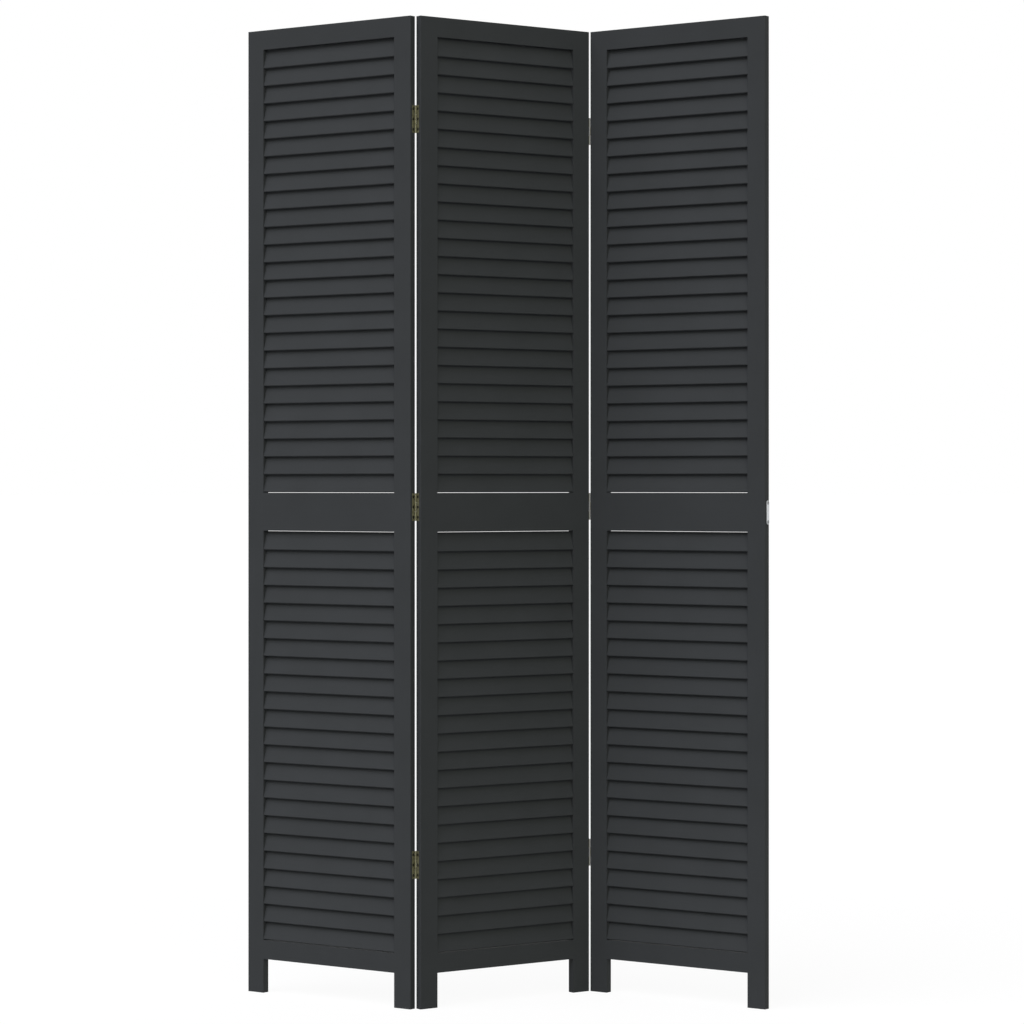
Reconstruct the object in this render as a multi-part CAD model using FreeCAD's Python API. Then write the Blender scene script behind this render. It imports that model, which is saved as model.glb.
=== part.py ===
# Folding screen of three louvred wooden panels, hinged to each other and standing in a zigzag.
# Sizes are in millimetres. X runs along the row of panels, Y away from the viewer and Z up.
# The origin is on the floor, under the middle of the centre panel.

import FreeCAD, Part
import math
import os

# Whole panel
panel_width = 349.0
panel_height = 1650.0
panel_thickness = 13.0
fold_turn_deg = 35.25          # how far each panel stands turned out of the straight row

# Stiles and rails
stile_width = 34.0
stile_round = 1.0              # rounding of the two outer long edges
leg_height = 58.0              # free height under the bottom rail
bottom_rail_height = 32.5
middle_rail_height = 65.0
middle_rail_centre = 825.0     # above the floor
top_rail_height = 33.0
tenon_length = 14.0
tenon_thickness = 5.0
tenon_shoulder = 6.0           # rail height left above and below its tenon
tenon_clearance = 0.1
tenon_end_clearance = 0.5

# Louvre slats
slat_width = 33.0
slat_thickness = 4.5
slat_setback = 0.33            # from a slat's edges to the panel's front and back faces
slat_target_pitch = 30.2       # the pitch that a stack keeps to as nearly as it can
slat_rail_gap = 0.75           # open slit between a stack of slats and a rail beside it
slat_top_gap = 0.1             # closed up to this under the top rail
slat_seat_depth = 8.0          # depth of the slots in the stiles
slat_clearance = 0.1
slat_end_clearance = 0.5

# Butt hinges
hinge_length = 46.0
top_hinge_from_top = 171.0     # panel top to the middle of the top hinge
middle_hinge_height = 834.0    # floor to the middle of the hinge
bottom_hinge_height = 239.0
knuckle_count = 3              # on each hinge, in turn on the one leaf and the other
pin_radius = 0.7
pin_clearance = 0.05
leaf_thickness = 0.75
leaf_recess = 0.75             # how deep a leaf is let into the stile, flush with its edge
leaf_margin = 5.0              # from a leaf's free edge to the panel's far face
leaf_clearance = 0.1           # round a leaf in its recess
knuckle_gap = 0.2              # between neighbouring knuckles
knuckle_relief = 0.4           # between a knuckle and the other leaf
knuckle_wrap_deg = 285.0       # how far the sheet is rolled round the pin
knuckle_flats = 10             # flats that stand for the round of a small knuckle
folded_face_gap = 1.0          # between the faces of two panels folded together

# Countersunk wood screws
screw_radius = 1.85
screw_length = 12.0            # tapers to a point
screw_clearance = 0.05
screws_per_leaf = 3
screw_spacing = 17.0
screw_sides = 8                # flats that stand for the round form of a small screw

# Bright plate on the free edge of the right panel
plate_length = 40.0
plate_width = 7.8
plate_thickness = 1.2
plate_set_back = 1.5           # from the middle of the edge towards the back
plate_height = 825.0           # floor to the middle of the plate
plate_screw_inset = 4.1        # from a plate end to its screw

# Worked-out sizes
half_width = panel_width / 2
half_thickness = panel_thickness / 2
inner_half_width = half_width - stile_width
bore_radius = pin_radius + pin_clearance
knuckle_radius = bore_radius + leaf_thickness
axis_beyond_end = knuckle_radius - leaf_recess
axis_beyond_face = folded_face_gap / 2
leaf_width = panel_thickness + axis_beyond_face - leaf_margin
leaf_notch = knuckle_radius + knuckle_relief
screw_row = (leaf_notch + leaf_width) / 2
hinge_heights = {
    "upper": panel_height - top_hinge_from_top,
    "middle": middle_hinge_height,
    "lower": bottom_hinge_height,
}
rails = {
    "top": (panel_height - top_rail_height, top_rail_height),
    "middle": (middle_rail_centre - middle_rail_height / 2, middle_rail_height),
    "bottom": (leg_height, bottom_rail_height),
}
slat_bays = {
    "upper": (
        rails["middle"][0] + middle_rail_height + slat_rail_gap,
        rails["top"][0] - slat_top_gap,
    ),
    "lower": (
        rails["bottom"][0] + bottom_rail_height + slat_rail_gap,
        rails["middle"][0] - slat_rail_gap,
    ),
}
slat_diagonal = math.hypot(slat_width, slat_thickness)
slat_tilt = (
    math.asin((panel_thickness - 2 * slat_setback) / slat_diagonal)
    - math.atan2(slat_thickness, slat_width)
)
slat_rise = slat_width * math.cos(slat_tilt) + slat_thickness * math.sin(slat_tilt)

same_place = 1e-6              # points nearer than this are one point
UP = FreeCAD.Vector(0, 0, 1)
LEFT_END = -1
RIGHT_END = 1
BACK = 1
FRONT = -1


def box(low, high):
    """Box between two opposite corners."""
    size = [h - l for l, h in zip(low, high)]
    return Part.makeBox(*size, FreeCAD.Vector(*low))


def spindle(place, profile, sides):
    """Turned piece drawn with a few flats: profile lists (distance along the axis, radius),
    and place(distance, across, height) gives the point in the panel. A radius of 0 is a point."""
    rings = []
    for distance, radius in profile:
        turns = [math.radians(360.0 * (i + 0.5) / sides) for i in range(sides)]
        ring = [place(distance, radius * math.cos(a), radius * math.sin(a)) for a in turns]
        rings.append(ring if radius else ring[:1])
    corners = [rings[0]]
    for near, far in zip(rings, rings[1:]):
        for i in range(sides):
            j = (i + 1) % sides
            corners.append([near[i], near[j]] + ([far[j], far[i]] if len(far) > 1 else far))
    if len(rings[-1]) > 1:
        corners.append(rings[-1])
    faces = [Part.Face(Part.makePolygon(c + c[:1])) for c in corners]
    solid = Part.Solid(Part.Shell(faces))
    if solid.Volume < 0:
        solid.reverse()
    return solid


def slat_centres(bay):
    """Heights of the slat centres in a bay: as near to the target pitch as fills it evenly."""
    low, high = slat_bays[bay]
    run = high - low - slat_rise
    gaps = max(1, round(run / slat_target_pitch))
    first = low + slat_rise / 2
    return [first + run * i / gaps for i in range(gaps + 1)]


def sloped_board(left, right, height, grow):
    """Board across the panel in a slat's place, its top edge leaning to the back.
    Grow makes it larger all round, for the slot that takes the slat."""
    half_w = slat_width / 2 + grow
    half_t = slat_thickness / 2 + grow
    board = box((left, -half_t, -half_w), (right, half_t, half_w))
    board.rotate(FreeCAD.Vector(), FreeCAD.Vector(1, 0, 0), -math.degrees(slat_tilt))
    board.translate(UP * height)
    return board


def slats(bay):
    """Stack of slats in one bay, their ends in the stiles' slots."""
    reach = inner_half_width + slat_seat_depth - slat_end_clearance
    return [sloped_board(-reach, reach, z, 0.0) for z in slat_centres(bay)]


def rail(name):
    """Rail with a stub tenon at each end."""
    foot, height = rails[name]
    body = box(
        (-inner_half_width, -half_thickness, foot),
        (inner_half_width, half_thickness, foot + height),
    )
    reach = inner_half_width + tenon_length
    tenon = box(
        (-reach, -tenon_thickness / 2, foot + tenon_shoulder),
        (reach, tenon_thickness / 2, foot + height - tenon_shoulder),
    )
    return body.fuse(tenon).removeSplitter()


class PanelEnd:
    """One hinged end of a panel. Places are given as d, from the hinge axis into the panel
    along its width, and q, from the axis into its thickness."""

    def __init__(self, end, face):
        self.end = end
        self.face = face
        self.axis_u = end * (half_width + axis_beyond_end)
        self.axis_v = face * (half_thickness + axis_beyond_face)

    def point(self, d, q, z):
        return FreeCAD.Vector(self.axis_u - self.end * d, self.axis_v - self.face * q, z)

    def block(self, d, q, z):
        """Box between two places, each of d, q and z a pair."""
        a = self.point(d[0], q[0], z[0])
        b = self.point(d[1], q[1], z[1])
        low = [min(m, n) for m, n in zip(a, b)]
        high = [max(m, n) for m, n in zip(a, b)]
        return box(low, high)

    def recess(self, height):
        """Shallow pocket for a leaf, open at the face where the knuckle is."""
        half = hinge_length / 2 + leaf_clearance
        return self.block(
            (0.0, knuckle_radius),
            (0.0, leaf_width + leaf_clearance),
            (height - half, height + half),
        )

    def screw_places(self, height):
        """Functions that place each screw's form, one for each hole of a leaf."""
        middle = (screws_per_leaf - 1) / 2
        rises = [height + screw_spacing * (i - middle) for i in range(screws_per_leaf)]
        return [lambda d, q, z, r=r: self.point(d, screw_row + q, r + z) for r in rises]

    def screws(self, height):
        return [wood_screw(p, bore_radius, leaf_thickness, 0.0) for p in self.screw_places(height)]

    def screw_holes(self, height):
        return [
            wood_screw(p, bore_radius, leaf_thickness, screw_clearance)
            for p in self.screw_places(height)
        ]

    def rolled_knuckle(self, foot, top):
        """Leaf sheet rolled round the pin, up to where the flat of the leaf starts."""
        turns = [math.radians(knuckle_wrap_deg * i / knuckle_flats) for i in range(knuckle_flats + 1)]

        def roll(radius):
            return [self.point(radius * math.cos(a), -radius * math.sin(a), foot) for a in turns]

        flat = [self.point(d, leaf_notch, foot) for d in (bore_radius, knuckle_radius)]
        outline = roll(knuckle_radius) + roll(bore_radius)[::-1] + flat
        return Part.Face(Part.makePolygon(outline + outline[:1])).extrude(UP * (top - foot))

    def leaf(self, height, knuckles):
        """Flat plate, the rolled knuckles that belong to it and its countersunk holes."""
        foot = height - hinge_length / 2
        span = hinge_length / knuckle_count
        plate = self.block(
            (bore_radius, knuckle_radius),
            (leaf_notch, leaf_width),
            (foot, foot + hinge_length),
        )
        rolls = []
        for i in knuckles:
            below = knuckle_gap / 2 if i > 0 else 0.0
            above = knuckle_gap / 2 if i < knuckle_count - 1 else 0.0
            rolls.append(self.rolled_knuckle(foot + span * i + below, foot + span * (i + 1) - above))
        return plate.fuse(rolls).cut(self.screw_holes(height)).removeSplitter()

    def pin(self, height):
        foot = self.point(0.0, 0.0, height - hinge_length / 2)
        return Part.makeCylinder(pin_radius, hinge_length, foot)


def wood_screw(place, start, head_depth, grow):
    """Countersunk wood screw, its head flush at start. Grow makes the hole that takes it."""
    profile = [
        (start - grow, screw_radius + head_depth + 2 * grow),
        (start + head_depth, screw_radius + grow),
        (start + screw_length + grow, 0.0),
    ]
    return spindle(place, profile, screw_sides)


def plate_screw_places():
    """Functions that place the edge plate's screws, measured inwards from the plate's face."""
    reach = plate_length / 2 - plate_screw_inset
    outside = half_width + plate_thickness
    return [
        lambda d, q, z, r=plate_height + side * reach: FreeCAD.Vector(
            outside - d, plate_set_back + q, r + z
        )
        for side in (-1, 1)
    ]


def plate_screws(grow):
    return [wood_screw(p, 0.0, plate_thickness, grow) for p in plate_screw_places()]


def edge_plate():
    """Flat plate with round ends on the free edge, with two countersunk holes."""
    middle = plate_length / 2 - plate_width / 2
    body = box(
        (half_width, plate_set_back - plate_width / 2, plate_height - middle),
        (half_width + plate_thickness, plate_set_back + plate_width / 2, plate_height + middle),
    )
    ends = [
        Part.makeCylinder(
            plate_width / 2,
            plate_thickness,
            FreeCAD.Vector(half_width, plate_set_back, plate_height + side * middle),
            FreeCAD.Vector(1, 0, 0),
        )
        for side in (-1, 1)
    ]
    return body.fuse(ends).cut(plate_screws(screw_clearance)).removeSplitter()


def setting_out_lines(inner):
    """Sloping lines across a stile's inner edge, midway between two slots, at every second gap.
    They part the long face into short patches with two slots each."""
    reach = half_thickness / math.tan(slat_tilt)
    lines = []
    for bay in slat_bays:
        centres = slat_centres(bay)
        for below, above in list(zip(centres, centres[1:]))[1::2]:
            height = (below + above) / 2
            lines.append(Part.makeLine(
                FreeCAD.Vector(inner, -half_thickness, height - reach),
                FreeCAD.Vector(inner, half_thickness, height + reach),
            ))
    return lines


def stile(end, hinge_end, extra_holes):
    """Upright with slanted slots for the slats, mortises for the rails and, at a hinged end,
    recesses and pilot holes for the hinges."""
    outer = end * half_width
    inner = end * inner_half_width
    low = min(outer, inner)
    high = max(outer, inner)
    post = box((low, -half_thickness, 0.0), (high, half_thickness, panel_height))
    outer_edges = [
        e for e in post.Edges
        if all(abs(v.X - outer) < same_place for v in e.Vertexes)
        and e.Vertexes[0].Z != e.Vertexes[-1].Z
    ]
    post = post.makeFillet(stile_round, outer_edges)
    slot_end = inner + end * slat_seat_depth
    cuts = [
        sloped_board(min(inner - end, slot_end), max(inner - end, slot_end), z, slat_clearance)
        for bay in slat_bays
        for z in slat_centres(bay)
    ]
    mortise_end = inner + end * (tenon_length + tenon_end_clearance)
    half_mortise = tenon_thickness / 2 + tenon_clearance
    for foot, height in rails.values():
        cuts.append(box(
            (min(inner, mortise_end), -half_mortise, foot + tenon_shoulder - tenon_clearance),
            (max(inner, mortise_end), half_mortise, foot + height - tenon_shoulder + tenon_clearance),
        ))
    if hinge_end:
        for height in hinge_heights.values():
            cuts.append(hinge_end.recess(height))
            cuts.extend(hinge_end.screw_holes(height))
    post = post.cut(cuts + extra_holes)
    return post.generalFuse(setting_out_lines(inner))[0].Solids[0]


def save(name, shapes, place):
    """One file for a piece, or for a group of like pieces, set in its place."""
    moved = []
    for shape in shapes:
        copy = shape.copy()
        copy.Placement = place.multiply(copy.Placement)
        if not copy.isValid() or copy.Volume <= 0:
            raise ValueError("unsound piece in " + name)
        moved.append(copy)
    whole = moved[0] if len(moved) == 1 else Part.makeCompound(moved)
    whole.exportStep("parts/" + name + ".step")


def panel_place(turn_deg, u, v, pivot):
    """Place of a panel turned by turn_deg whose hinge axis, at u and v in it, lies on pivot."""
    turn = FreeCAD.Rotation(UP, turn_deg)
    return FreeCAD.Placement(pivot - turn.multVec(FreeCAD.Vector(u, v, 0)), turn)


# The near fold opens to the front, so its axis is behind the panels; the far fold is the reverse.
near_left = PanelEnd(RIGHT_END, BACK)
near_centre = PanelEnd(LEFT_END, BACK)
far_centre = PanelEnd(RIGHT_END, FRONT)
far_right = PanelEnd(LEFT_END, FRONT)

centre_place = FreeCAD.Placement(FreeCAD.Vector(), FreeCAD.Rotation(UP, fold_turn_deg))
near_pivot = centre_place.multVec(near_centre.point(0.0, 0.0, 0.0))
far_pivot = centre_place.multVec(far_centre.point(0.0, 0.0, 0.0))
left_place = panel_place(-fold_turn_deg, near_left.axis_u, near_left.axis_v, near_pivot)
right_place = panel_place(-fold_turn_deg, far_right.axis_u, far_right.axis_v, far_pivot)

os.makedirs("parts", exist_ok=True)

# Panels: stiles, rails and slats
panels = {
    "left": (left_place, None, near_left, []),
    "centre": (centre_place, near_centre, far_centre, []),
    "right": (right_place, far_right, None, plate_screws(screw_clearance)),
}
for panel, (place, left_end, right_end, right_holes) in panels.items():
    save(panel + "_panel_left_stile", [stile(LEFT_END, left_end, [])], place)
    save(panel + "_panel_right_stile", [stile(RIGHT_END, right_end, right_holes)], place)
    for name in rails:
        save(panel + "_panel_" + name + "_rail", [rail(name)], place)
    for bay in slat_bays:
        save(panel + "_panel_" + bay + "_slats", slats(bay), place)

# Hinges: the centre panel's leaf has the end knuckles, the outer panel's leaf those between
centre_knuckles = range(0, knuckle_count, 2)
wing_knuckles = range(1, knuckle_count, 2)
hinges = {
    "left": (near_centre, near_left, left_place),
    "right": (far_centre, far_right, right_place),
}
for side, (centre_end, wing_end, wing_place) in hinges.items():
    for level, height in hinge_heights.items():
        name = side + "_" + level + "_hinge"
        save(name + "_centre_leaf", [centre_end.leaf(height, centre_knuckles)], centre_place)
        save(name + "_wing_leaf", [wing_end.leaf(height, wing_knuckles)], wing_place)
        save(name + "_pin", [centre_end.pin(height)], centre_place)
    centre_screws = [s for h in hinge_heights.values() for s in centre_end.screws(h)]
    wing_screws = [s for h in hinge_heights.values() for s in wing_end.screws(h)]
    save("centre_panel_" + side + "_hinge_screws", centre_screws, centre_place)
    save(side + "_panel_hinge_screws", wing_screws, wing_place)

# Plate on the free edge of the right panel
save("edge_plate", [edge_plate()], right_place)
save("edge_plate_screws", plate_screws(0.0), right_place)

for label, pivot in (("near fold", near_pivot), ("far fold", far_pivot)):
    print(label, "axis at", round(pivot.x, 4), round(pivot.y, 4))
print("slat tilt", round(math.degrees(slat_tilt), 3), "rise", round(slat_rise, 3))
for bay in slat_bays:
    print(bay, "slats", len(slat_centres(bay)))
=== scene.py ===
# Folding screen of three louvred wooden panels, hinged edge to edge and standing in a zigzag.
# Lengths are in metres, with X along the row of panels, Y away from the viewer and Z up.

import math

import bmesh
import bpy
import numpy as np
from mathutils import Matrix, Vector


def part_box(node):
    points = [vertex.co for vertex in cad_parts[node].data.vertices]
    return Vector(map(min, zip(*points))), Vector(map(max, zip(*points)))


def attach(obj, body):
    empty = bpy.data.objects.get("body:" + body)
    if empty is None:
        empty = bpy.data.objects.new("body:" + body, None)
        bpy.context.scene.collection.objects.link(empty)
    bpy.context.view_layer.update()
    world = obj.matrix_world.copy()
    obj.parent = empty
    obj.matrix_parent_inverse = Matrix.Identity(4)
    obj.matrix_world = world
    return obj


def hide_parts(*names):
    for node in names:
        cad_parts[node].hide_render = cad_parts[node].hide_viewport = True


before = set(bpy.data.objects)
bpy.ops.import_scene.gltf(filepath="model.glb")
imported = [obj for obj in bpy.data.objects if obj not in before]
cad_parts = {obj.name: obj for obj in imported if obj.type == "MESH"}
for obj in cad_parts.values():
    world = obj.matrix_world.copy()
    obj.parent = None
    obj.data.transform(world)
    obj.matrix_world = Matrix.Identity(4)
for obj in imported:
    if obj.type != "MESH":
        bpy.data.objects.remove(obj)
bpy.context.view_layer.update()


# Stiles: the two uprights of each panel, planed from light wood and run down to the floor as legs.
# The frame is sprayed with matt charcoal paint, thin enough for the grain to show through as faint
# streaks along the wood.

class Shade:
    """One value in a finish. Arithmetic on values and numbers adds Math nodes, and node() adds any
    other node."""

    def __init__(self, tree, output=None):
        self.tree = tree
        self.output = output

    def node(self, kind, settings=None, inputs=None, output=0):
        """A node of that kind: its settings first, then the values or links of its sockets."""
        made = self.tree.nodes.new(kind)
        for name, value in (settings or {}).items():
            setattr(made, name, value)
        for name, value in (inputs or {}).items():
            if isinstance(value, Shade):
                self.tree.links.new(value.output, made.inputs[name])
            else:
                made.inputs[name].default_value = value
        return Shade(self.tree, made.outputs[output])

    def math(self, operation, first, second):
        return self.node("ShaderNodeMath", {"operation": operation}, {0: first, 1: second})

    def __add__(self, other):
        return self.math("ADD", self, other)

    def __mul__(self, other):
        return self.math("MULTIPLY", self, other)

    __radd__ = __add__
    __rmul__ = __mul__


def colour(red, green, blue):
    """Linear colour from red, green and blue levels of 0 to 255 as a screen shows them."""
    levels = np.array([red, green, blue]) / 255
    linear = np.where(levels > 0.04045, ((levels + 0.055) / 1.055) ** 2.4, levels / 12.92)
    return (*linear.tolist(), 1.0)


def finish(name, **constants):
    """A new material with its main shader, which takes the constants by socket name."""
    material = bpy.data.materials.new(name)
    material.use_nodes = True
    tree = material.node_tree
    tree.nodes.clear()
    surface = tree.nodes.new("ShaderNodeBsdfPrincipled")
    for socket, value in constants.items():
        surface.inputs[socket.replace("_", " ")].default_value = value
    output = tree.nodes.new("ShaderNodeOutputMaterial")
    tree.links.new(surface.outputs[0], output.inputs["Surface"])
    return material, surface, Shade(tree)


def feed(shade, surface, **values):
    """Links the values that change over the surface to the sockets of its shader."""
    for socket, value in values.items():
        shade.tree.links.new(value.output, surface.inputs[socket.replace("_", " ")])


def panel_directions(panel):
    """Level unit vectors across a panel and through it to the back, from the long direction of its
    middle rail."""
    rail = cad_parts[panel + "_panel_middle_rail"].data
    points = np.empty(len(rail.vertices) * 3)
    rail.vertices.foreach_get("co", points)
    level = points.reshape(-1, 3)[:, :2]
    across = np.linalg.svd(level - level.mean(0), full_matrices=False)[2][0]
    across *= np.sign(across[0])
    return np.array([across[0], across[1], 0.0]), np.array([-across[1], across[0], 0.0])


charcoal_shadow = colour(49, 51, 52)
charcoal_light = colour(58, 60, 62)
streaks_across = 900.0          # grain streaks in a metre, across the grain and along it
streaks_along = 18.0
mottle_scale = 14.0
grain_share = 0.45              # of the paint's tone; the mottle has the rest
film_height = 0.0001            # of the grain that shows through the film of paint
film_strength = 0.25
paint_roughness = 0.56          # lowest, and how far the grain adds to it
paint_roughness_spread = 0.16


def painted_wood(name, panel, stretch):
    """Matt paint on wood. Stretch gives the streaks in a metre across the panel, through it and up."""
    material, surface, shade = finish(name, Specular_IOR_Level=0.06)
    across, _ = panel_directions(panel)
    turn = math.atan2(across[1], across[0])
    place = shade.node("ShaderNodeTexCoord", output="Object")
    place = place.node("ShaderNodeMapping", inputs={"Vector": place, "Rotation": (0.0, 0.0, -turn)})
    grain_place = place.node("ShaderNodeVectorMath", {"operation": "MULTIPLY"}, {0: place, 1: stretch})
    grain = place.node("ShaderNodeTexNoise", inputs={"Vector": grain_place, "Scale": 1.0, "Detail": 3.0})
    mottle = place.node("ShaderNodeTexNoise", inputs={"Vector": place, "Scale": mottle_scale, "Detail": 2.0})
    tone = grain_share * grain + (1 - grain_share) * mottle
    paint = place.node(
        "ShaderNodeMix", {"data_type": "RGBA"}, {0: tone, 6: charcoal_shadow, 7: charcoal_light}, 2
    )
    film = place.node(
        "ShaderNodeBump", inputs={"Strength": film_strength, "Distance": film_height, "Height": grain}
    )
    roughness = paint_roughness + paint_roughness_spread * grain
    feed(shade, surface, Base_Color=paint, Roughness=roughness, Normal=film)
    return material


def dress(node, material):
    """Gives a piece of the construction its finish."""
    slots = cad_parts[node].data.materials
    slots.clear()
    slots.append(material)


panels = ("left", "centre", "right")
up_the_panel = (streaks_across, streaks_across, streaks_along)
for panel in panels:
    upright_paint = painted_wood(panel + "_upright_paint", panel, up_the_panel)
    for side in ("left", "right"):
        dress(panel + "_panel_" + side + "_stile", upright_paint)


# Rails: top, middle and bottom of each panel, tenoned into the stiles flush with their faces and
# painted with them, so that only the turn of the grain tells where they meet.

across_the_panel = (streaks_along, streaks_across, streaks_across)
level_paint = {p: painted_wood(p + "_level_paint", p, across_the_panel) for p in panels}
for panel in panels:
    for level in ("top", "middle", "bottom"):
        dress(panel + "_panel_" + level + "_rail", level_paint[panel])


# Slats: thin boards let into slanting slots in the stiles, each with its top edge leaning back
# behind the slat above. Their long edges are eased with abrasive paper before they are painted.

slat_width = 0.033
slat_thickness = 0.0045
slat_ease = 0.0015
ease_steps = 5                  # points on each eased edge
sharpest_smooth = math.radians(35)    # an edge that turns more than this stays sharp
slat_counts = {"upper": 25, "lower": 23}
UP = np.array([0.0, 0.0, 1.0])


def skin(name, stacks, material):
    """A piece of closed shells. A stack has a row of closed rings of points for each of its shells:
    point k of a ring is joined to point k of the next ring, and one face closes each end."""
    points, faces, used = [], [], 0
    for rings in stacks:
        shells, length, around, _ = rings.shape
        first = used + np.arange(shells * length).reshape(shells, length, 1) * around
        k = np.arange(around)
        here, there = first[:, :-1], first[:, 1:]
        turn = (k + 1) % around
        sides = np.stack([here + k, here + turn, there + turn, there + k], axis=-1)
        points.append(rings.reshape(-1, 3))
        faces += sides.reshape(-1, 4).tolist()
        faces += (first[:, 0] + k).tolist() + (first[:, -1] + k).tolist()
        used += shells * length * around
    mesh = bpy.data.meshes.new(name)
    mesh.from_pydata(np.concatenate(points).tolist(), [], faces)
    outward = bmesh.new()
    outward.from_mesh(mesh)
    bmesh.ops.recalc_face_normals(outward, faces=outward.faces)
    outward.to_mesh(mesh)
    outward.free()
    mesh.shade_smooth()
    mesh.set_sharp_from_angle(angle=sharpest_smooth)
    mesh.materials.append(material)
    piece = bpy.data.objects.new(name, mesh)
    bpy.context.scene.collection.objects.link(piece)
    piece.modifiers.new("even_shading", "WEIGHTED_NORMAL").keep_sharp = True
    return piece


def eased_outline(width, height, ease, steps):
    """Closed rectangle about the origin with rounded corners: a quarter circle of radius ease about
    each corner's own centre, in turn, against the clock."""
    corner = np.repeat(np.arange(4), steps)
    angle = (corner + np.tile(np.linspace(0, 1, steps), 4)) * np.pi / 2
    side = np.array([(1, 1), (-1, 1), (-1, -1), (1, -1)])[corner]
    centre = side * (np.array([width, height]) / 2 - ease)
    return centre + ease * np.stack([np.cos(angle), np.sin(angle)], axis=-1)


def louvre_rings(panel, bay, count):
    """Rings of a stack of slats: the slat's eased section at its two ends, turned by its tilt and
    raised to each slat's height, evenly from the lowest slat of the stack to the highest. Length and
    depth come from the stack's box, whose level sides each hold a share of both."""
    low, high = (np.array(corner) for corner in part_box(panel + "_panel_" + bay + "_slats"))
    across, back = panel_directions(panel)
    shares = np.abs(np.stack([across[:2], back[:2]], axis=-1))
    length, depth = np.linalg.solve(shares, (high - low)[:2])
    diagonal = math.hypot(slat_width, slat_thickness)
    tilt = math.asin(depth / diagonal) - math.atan2(slat_thickness, slat_width)
    lean = math.cos(tilt) * UP + math.sin(tilt) * back
    through = math.cos(tilt) * back - math.sin(tilt) * UP
    flat_width, flat_edge = slat_width - 2 * slat_ease, slat_thickness - 2 * slat_ease
    half_rise = (flat_width * math.cos(tilt) + flat_edge * math.sin(tilt)) / 2 + slat_ease
    outline = eased_outline(slat_width, slat_thickness, slat_ease, ease_steps)
    section = outline[:, :1] * lean + outline[:, 1:] * through
    heights = np.linspace(low[2] + half_rise, high[2] - half_rise, count)[:, None]
    centres = (low + high) / 2 * (1 - UP) + heights * UP
    ends = np.array([[0.5], [-0.5]]) * length * across
    return centres[:, None, None] + ends[:, None] + section


for panel in panels:
    for bay, count in slat_counts.items():
        stack = panel + "_panel_" + bay
        slats = skin(stack + "_louvres", [louvre_rings(panel, bay, count)], level_paint[panel])
        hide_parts(stack + "_slats")
        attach(slats, panel + "_panel")


# Hinges: three small butt hinges on each fold, bent from brass sheet and darkened to an antique
# brown. Each leaf is let into the edge of its stile and rolled round the pin into its knuckles.

bore_radius = 0.00075
leaf_thickness = 0.00075
leaf_ease = 0.00012
leaf_edge = 0.0085              # from the hinge axis to the free edge of a leaf
leaf_notch = 0.0019             # from the axis to where the flat of a leaf begins
leaf_lap = 0.0003               # how far a rolled knuckle runs on into the flat
knuckle_wrap = math.radians(285)
knuckle_steps = 30
knuckle_gap = 0.0002
sheet_radius = bore_radius + leaf_thickness / 2
leaf_knuckles = {"centre_leaf": (0, 2), "wing_leaf": (1,)}
knuckle_count = 3

brass_bright = colour(132, 130, 104)
brass_brown = colour(104, 101, 76)
# grey painted on the outside of the knuckle rolls: a painted sheen of reflected light
sheen_grey = colour(128, 128, 127)
patina_scale = 260.0
patina_edges = (0.38, 0.66)     # levels of the noise where the patina starts and is full
grit_scale = 2200.0
grit_height = 0.00004
grit_strength = 0.2
brass_roughness = 0.34          # of bare metal, and how far the patina adds to it
brass_roughness_spread = 0.22


def antique_brass(name, bright, brown):
    """Darkened brass: brown patina in cloudy patches, with the metal showing between them, and a plain
    grey where the marking attribute is 1: a painted sheen of the light that the knuckles reflect."""
    material, surface, shade = finish(name, Metallic=0.6)
    place = shade.node("ShaderNodeTexCoord", output="Object")
    cloud = place.node("ShaderNodeTexNoise", inputs={"Vector": place, "Scale": patina_scale, "Detail": 4.0})
    speck = place.node("ShaderNodeTexNoise", inputs={"Vector": place, "Scale": grit_scale, "Detail": 2.0})
    start, full = patina_edges
    patina = place.node("ShaderNodeMapRange", inputs={"Value": cloud, "From Min": start, "From Max": full})
    brass = place.node("ShaderNodeMix", {"data_type": "RGBA"}, {0: patina, 6: bright, 7: brown}, 2)
    roll_sheen = place.node("ShaderNodeAttribute", {"attribute_name": "roll_sheen"}, output="Fac")
    metal = place.node("ShaderNodeMix", {"data_type": "RGBA"}, {0: roll_sheen, 6: brass, 7: sheen_grey}, 2)
    grit = place.node(
        "ShaderNodeBump", inputs={"Strength": grit_strength, "Distance": grit_height, "Height": speck}
    )
    roughness = brass_roughness + brass_roughness_spread * patina
    feed(shade, surface, Base_Color=metal, Roughness=roughness, Normal=grit)
    return material


def leaf_place(fold, leaf):
    """The panel that a leaf is on and the level directions from the hinge axis into that panel's
    edge and into its thickness. The left fold has its axis behind the panels, the right in front."""
    face = 1 if fold == "left" else -1
    end = face if leaf == "wing_leaf" else -face
    panel = fold if leaf == "wing_leaf" else "centre"
    across, back = panel_directions(panel)
    return panel, -end * across, -face * back


def sheet_rings(axis, into, deep, path, outward, half_thickness, low, high):
    """Rings of a strip of sheet from height low to high. Path is its middle line and outward the
    direction through the sheet, both measured along into and deep from the hinge axis. Each ring is
    the strip's section there, a rectangle with its corners cut off."""
    half = np.stack([half_thickness, np.full(len(path), (high - low) / 2)], axis=-1)[:, None]
    corner = np.array([(1, 1), (1, 1), (-1, 1), (-1, 1), (-1, -1), (-1, -1), (1, -1), (1, -1)])
    trim = leaf_ease * np.array([(0, 1), (1, 0), (1, 0), (0, 1), (0, 1), (1, 0), (1, 0), (0, 1)])
    section = corner * (half - trim)
    level = path[:, None] + section[..., :1] * outward[:, None]
    heights = (low + high) / 2 + section[..., 1:]
    return (axis + level[..., :1] * into + level[..., 1:] * deep + heights * UP)[None]


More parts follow.
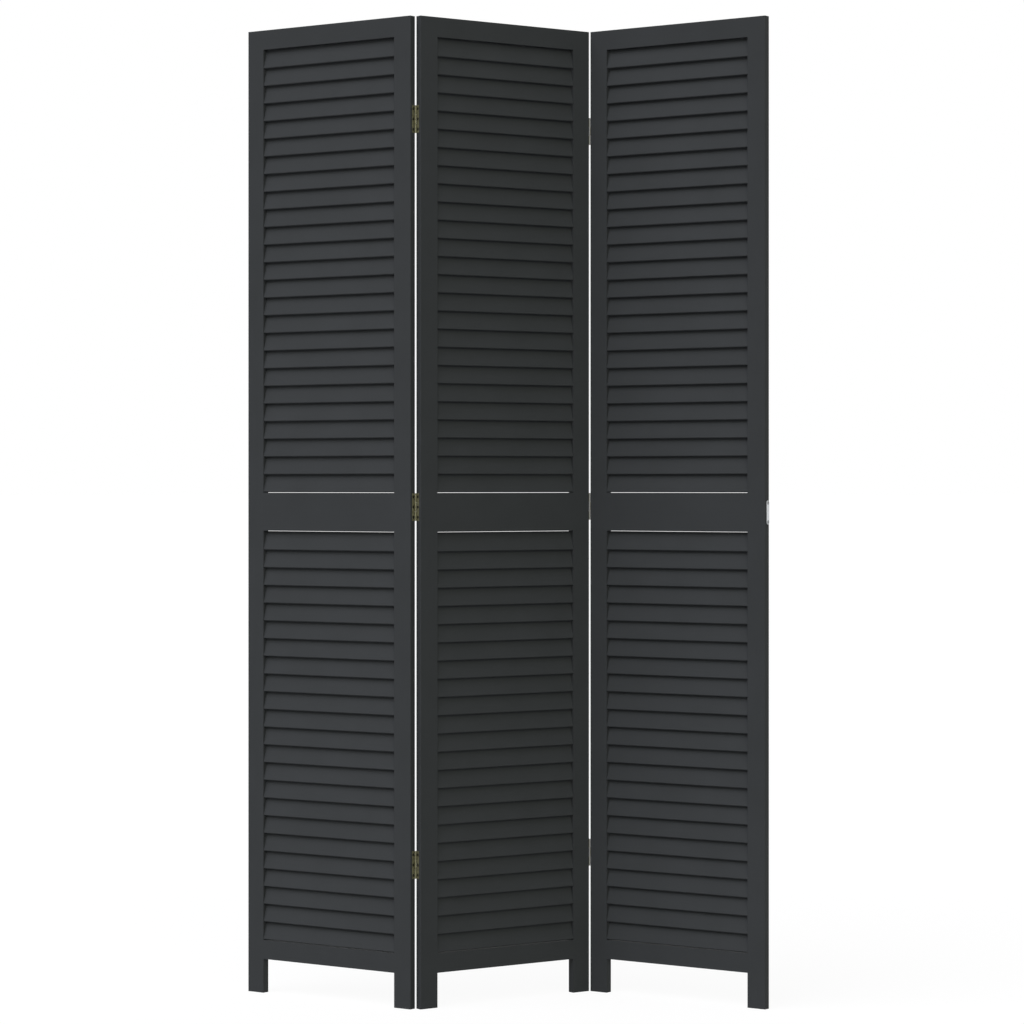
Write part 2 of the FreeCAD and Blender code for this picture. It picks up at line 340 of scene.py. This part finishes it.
def leaf_shells(hinge, leaf):
    """Shells of one leaf: its flat, thinned at the free edge, and the strips that run on from the
    flat to the axis and round it, one for each knuckle."""
    low, high = (np.array(corner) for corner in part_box(hinge + "_pin"))
    axis = (low + high) / 2 * (1 - UP)
    _, into, deep = leaf_place(hinge.split("_")[0], leaf)
    reach = np.array([leaf_edge, leaf_edge - leaf_ease, leaf_notch])
    flat = np.stack([np.full(3, sheet_radius), reach], axis=-1)
    thinned = leaf_thickness / 2 - np.array([leaf_ease, 0.0, 0.0])
    shells = [sheet_rings(axis, into, deep, flat, np.tile([1.0, 0.0], (3, 1)), thinned, low[2], high[2])]
    angle = np.linspace(0.0, knuckle_wrap, knuckle_steps)
    outward = np.stack([np.cos(angle), -np.sin(angle)], axis=-1)
    rolled = np.concatenate([[[sheet_radius, leaf_notch + leaf_lap]], sheet_radius * outward])
    outward = np.concatenate([[[1.0, 0.0]], outward])
    full = np.full(len(rolled), leaf_thickness / 2)
    span = (high[2] - low[2]) / knuckle_count
    for i in leaf_knuckles[leaf]:
        foot = low[2] + span * i + (knuckle_gap / 2 if i > 0 else 0.0)
        top = low[2] + span * (i + 1) - (knuckle_gap / 2 if i < knuckle_count - 1 else 0.0)
        shells.append(sheet_rings(axis, into, deep, rolled, outward, full, foot, top))
    return shells


def paint_knuckle_sheen(piece, hinge, leaf):
    """Marks where the shader paints a grey sheen of reflected light on a leaf: from 0 beside the hinge
    axis to 1 on the outside of the roll."""
    low, high = (np.array(corner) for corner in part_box(hinge + "_pin"))
    _, _, deep = leaf_place(hinge.split("_")[0], leaf)
    points = np.empty(len(piece.data.vertices) * 3)
    piece.data.vertices.foreach_get("co", points)
    beyond = ((low + high) / 2 - points.reshape(-1, 3)) @ deep
    roll_sheen = piece.data.attributes.new("roll_sheen", "FLOAT", "POINT")
    roll_sheen.data.foreach_set("value", np.clip(beyond / sheet_radius, 0, 1))


leaf_brass = antique_brass("antique_brass", brass_bright, brass_brown)
folds = ("left", "right")
hinge_levels = ("upper", "middle", "lower")
for fold in folds:
    for level in hinge_levels:
        hinge = fold + "_" + level + "_hinge"
        dress(hinge + "_pin", leaf_brass)
        for leaf in leaf_knuckles:
            sheet = skin(hinge + "_" + leaf + "_rolled", leaf_shells(hinge, leaf), leaf_brass)
            paint_knuckle_sheen(sheet, hinge, leaf)
            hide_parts(hinge + "_" + leaf)
            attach(sheet, leaf_place(fold, leaf)[0] + "_panel")


# Hinge screws: three in each leaf, small countersunk wood screws with a cross recess. Their heads are
# coloured near black, partly a dark finish and partly painted shade of their sunk heads and
# countersinks. No two are driven home at the same turn.

screw_head_radius = 0.0026
screw_crown = 0.0005            # rise of the head's middle above its rim
screw_spacing = 0.017
screw_row = (leaf_notch + leaf_edge) / 2
screws_per_leaf = 3
screw_spokes = 64
screw_turn_step = 2.4           # radians from one screw's turn to the next
# shares of the head's radius: its rings from the foot of the cone to the middle, then the cross
head_rings = (0.72, 1.0, 0.96, 0.86, 0.72, 0.64, 0.6, 0.5, 0.4, 0.3, 0.2, 0.1)
head_depth = 0.5
cross_half_width = 0.14
cross_reach = 0.64
cross_wall = 0.03               # width of the sloping wall beside an arm
cross_end_wall = 0.04
cross_sink = 0.85               # share of the dome's height that the cross is sunk by
# the heads' near black: partly a dark finish, partly painted shade of the countersinks
screw_bright = colour(32, 30, 18)
screw_brown = colour(18, 16, 9)
screw_brass = antique_brass("screw_brass", screw_bright, screw_brown)


def screw_rings(heads, outward, side, radius, crown):
    """Rings of screw heads at the given places: a short cone below the surface, then a low dome, its
    height falling with the square of the radius, with the four arms of a cross sunk in its middle
    almost to the foot of the dome."""
    share = np.array(head_rings)[:, None]
    angle = np.arange(screw_spokes) * 2 * np.pi / screw_spokes
    turn = screw_turn_step * np.arange(len(heads))[:, None, None]
    from_arm = (angle - turn + np.pi / 4) % (np.pi / 2) - np.pi / 4
    aside = share * np.abs(np.sin(from_arm))
    arm = np.clip((cross_half_width - aside) / cross_wall + 0.5, 0, 1)
    arm *= np.clip((cross_reach - share) / cross_end_wall, 0, 1)
    height = crown * (1 - share**2) * (1 - cross_sink * arm)
    height[:, 0] = -head_depth * radius
    around = np.cos(angle)[:, None] * side + np.sin(angle)[:, None] * UP
    return heads[:, None, None] + radius * share[..., None] * around + height[..., None] * outward


for fold in folds:
    for leaf in leaf_knuckles:
        panel, into, deep = leaf_place(fold, leaf)
        rows = []
        for level in hinge_levels:
            low, high = (np.array(corner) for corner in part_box(fold + "_" + level + "_hinge_pin"))
            rise = screw_spacing * (np.arange(screws_per_leaf) - (screws_per_leaf - 1) / 2)
            rows.append((low + high) / 2 + bore_radius * into + screw_row * deep + rise[:, None] * UP)
        node = panel + "_panel_" + (fold + "_" if panel == "centre" else "") + "hinge_screws"
        rings = screw_rings(np.concatenate(rows), -into, deep, screw_head_radius, screw_crown)
        screws = skin(node + "_heads", [rings], screw_brass)
        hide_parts(node)
        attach(screws, panel + "_panel")


# Edge plate: a small bright plate with round ends on the free edge of the right panel, stamped from
# zinc-plated steel, its rim rounded by the tumbling drum, and held by a screw at each end.

plate_length = 0.040
plate_width = 0.0078
plate_thickness = 0.0012
plate_end_round = 0.0038
plate_rim = 0.0004
plate_screw_inset = 0.0041
plate_screw_radius = 0.00305
plate_screw_crown = 0.0006
zinc_light = colour(214, 216, 218)
zinc_dull = colour(180, 183, 186)
screw_zinc_light = colour(140, 142, 144)
screw_zinc_dull = colour(98, 100, 102)
zinc_cloud_scale = 320.0
brush_stretch = (6000.0, 6000.0, 200.0)    # brush lines in a metre, across the plate and up it
brush_height = 0.00003
brush_strength = 0.15
zinc_roughness = 0.26           # lowest, and how far the brushing adds to it
zinc_roughness_spread = 0.16
rim_steps = 6                   # points on the rounded rim
end_steps = 10                  # points on each quarter of a round end


def zinc_plate(name, light, dull):
    """Zinc-plated steel: a bright, slightly cloudy film with fine brushing along the plate."""
    material, surface, shade = finish(name, Metallic=1.0)
    place = shade.node("ShaderNodeTexCoord", output="Object")
    cloud = place.node(
        "ShaderNodeTexNoise", inputs={"Vector": place, "Scale": zinc_cloud_scale, "Detail": 3.0}
    )
    fine = place.node("ShaderNodeVectorMath", {"operation": "MULTIPLY"}, {0: place, 1: brush_stretch})
    brush = place.node("ShaderNodeTexNoise", inputs={"Vector": fine, "Scale": 1.0, "Detail": 2.0})
    zinc = place.node("ShaderNodeMix", {"data_type": "RGBA"}, {0: cloud, 6: light, 7: dull}, 2)
    lines = place.node(
        "ShaderNodeBump", inputs={"Strength": brush_strength, "Distance": brush_height, "Height": brush}
    )
    roughness = zinc_roughness + zinc_roughness_spread * brush
    feed(shade, surface, Base_Color=zinc, Roughness=roughness, Normal=lines)
    return material


zinc = zinc_plate("zinc_plate", zinc_light, zinc_dull)
plate_low, plate_high = (np.array(corner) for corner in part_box("edge_plate"))
plate_out, plate_back = panel_directions("right")
plate_seat = (plate_low + plate_high) / 2 - plate_thickness / 2 * plate_out
rim_angle = np.linspace(0.0, np.pi / 2, rim_steps)
rim_inset = np.concatenate([[0.0], plate_rim * (1 - np.cos(rim_angle))])
rim_height = np.concatenate([[0.0], plate_thickness + plate_rim * (np.sin(rim_angle) - 1)])
plate_rings = np.stack([
    plate_seat + height * plate_out + outline[:, :1] * plate_back + outline[:, 1:] * UP
    for height, outline in (
        (h, eased_outline(plate_width - 2 * i, plate_length - 2 * i, plate_end_round - i, end_steps))
        for h, i in zip(rim_height, rim_inset)
    )
])
plate = skin("edge_plate_rounded", [plate_rings[None]], zinc)
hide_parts("edge_plate")
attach(plate, "right_panel")

plate_screw_rise = (plate_length / 2 - plate_screw_inset) * np.array([[-1.0], [1.0]])
plate_heads = plate_seat + plate_thickness * plate_out + plate_screw_rise * UP
plate_screw_zinc = zinc_plate("plate_screw_zinc", screw_zinc_light, screw_zinc_dull)
rings = screw_rings(plate_heads, plate_out, plate_back, plate_screw_radius, plate_screw_crown)
plate_screws = skin("edge_plate_screw_heads", [rings], plate_screw_zinc)
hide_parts("edge_plate_screws")
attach(plate_screws, "right_panel")


# Studio: a white floor and backdrop, soft daylight that is brighter behind the object, and two broad
# lamps: a cool one high on the left and a warmer one low in front. What the lens and the metal see
# behind the object is plain white.

floor_half = 300.0
floor_pale = (0.5, 0.5, 0.5, 1.0)
floor_veil = (0.07, 0.07, 0.07, 1.0)    # share of the seen floor that takes the object's shadow
floor_glow = 0.93
daylight = 0.2
daylight_behind = 0.8
# name, bearing from straight in front, height and spread in degrees, strength and colour
lamps = (
    ("left_lamp", -50.0, 51.0, 55.0, 2.58, (0.932, 0.925, 1.0)),
    ("front_lamp", 16.0, 25.0, 50.0, 1.105, (0.975, 1.0, 0.84)),
)

floor_mesh = bpy.data.meshes.new("floor")
floor_corners = [(-floor_half, -floor_half, 0.0), (floor_half, -floor_half, 0.0)]
floor_corners += [(floor_half, floor_half, 0.0), (-floor_half, floor_half, 0.0)]
floor_mesh.from_pydata(floor_corners, [], [(0, 1, 2, 3)])
floor = bpy.data.objects.new("floor", floor_mesh)
bpy.context.scene.collection.objects.link(floor)


def seen_by_lens(shade):
    """1 on what the lens, a mirror or glass sees, 0 on what only lights the object."""
    rays = ("Is Camera Ray", "Is Glossy Ray", "Is Transmission Ray")
    camera, glossy, clear = (shade.node("ShaderNodeLightPath", output=ray) for ray in rays)
    return camera + glossy + clear


floor_finish = bpy.data.materials.new("floor_white")
floor_finish.use_nodes = True
floor_finish.node_tree.nodes.clear()
ground = Shade(floor_finish.node_tree)
matt = ground.node("ShaderNodeBsdfDiffuse", inputs={"Color": floor_pale})
veil = ground.node("ShaderNodeBsdfDiffuse", inputs={"Color": floor_veil})
glow = ground.node("ShaderNodeEmission", inputs={"Strength": floor_glow})
pale = ground.node("ShaderNodeAddShader", inputs={0: veil, 1: glow})
laid = ground.node("ShaderNodeMixShader", inputs={0: seen_by_lens(ground), 1: matt, 2: pale})
floor_output = floor_finish.node_tree.nodes.new("ShaderNodeOutputMaterial")
floor_finish.node_tree.links.new(laid.output, floor_output.inputs["Surface"])
floor_mesh.materials.append(floor_finish)

world = bpy.data.worlds.new("studio")
bpy.context.scene.world = world
world.use_nodes = True
world.node_tree.nodes.clear()
room = Shade(world.node_tree)
way = room.node("ShaderNodeTexCoord", output="Generated")
behind = way.node("ShaderNodeSeparateXYZ", inputs={0: way}, output="Y")
brightness = daylight + daylight_behind * behind.math("MAXIMUM", behind, 0.0)
sky = room.node("ShaderNodeBackground", inputs={"Color": (1.0, 1.0, 1.0, 1.0), "Strength": brightness})
white = room.node("ShaderNodeBackground", inputs={"Color": (1.0, 1.0, 1.0, 1.0), "Strength": 1.0})
shown = room.node("ShaderNodeMixShader", inputs={0: seen_by_lens(room), 1: sky, 2: white})
world_output = world.node_tree.nodes.new("ShaderNodeOutputWorld")
world.node_tree.links.new(shown.output, world_output.inputs["Surface"])

for name, bearing, height, spread, strength, tint in lamps:
    lamp_data = bpy.data.lights.new(name, "SUN")
    lamp_data.energy = strength
    lamp_data.angle = math.radians(spread)
    lamp_data.color = tint
    lamp = bpy.data.objects.new(name, lamp_data)
    lamp.rotation_euler = (math.radians(90.0 - height), 0.0, math.radians(bearing))
    bpy.context.scene.collection.objects.link(lamp)

camera_data = bpy.data.cameras.new("camera")
camera_data.sensor_width = 36.0
camera_data.lens = 116.016
camera_data.shift_x = 0.00625
camera_data.shift_y = -0.0254
camera = bpy.data.objects.new("camera", camera_data)
camera.location = (0.0024, -5.583, 0.869)
camera.rotation_euler = (math.pi / 2, 0.0, 0.0)
bpy.context.scene.collection.objects.link(camera)
bpy.context.scene.camera = camera
bpy.context.scene.view_settings.view_transform = "Standard"
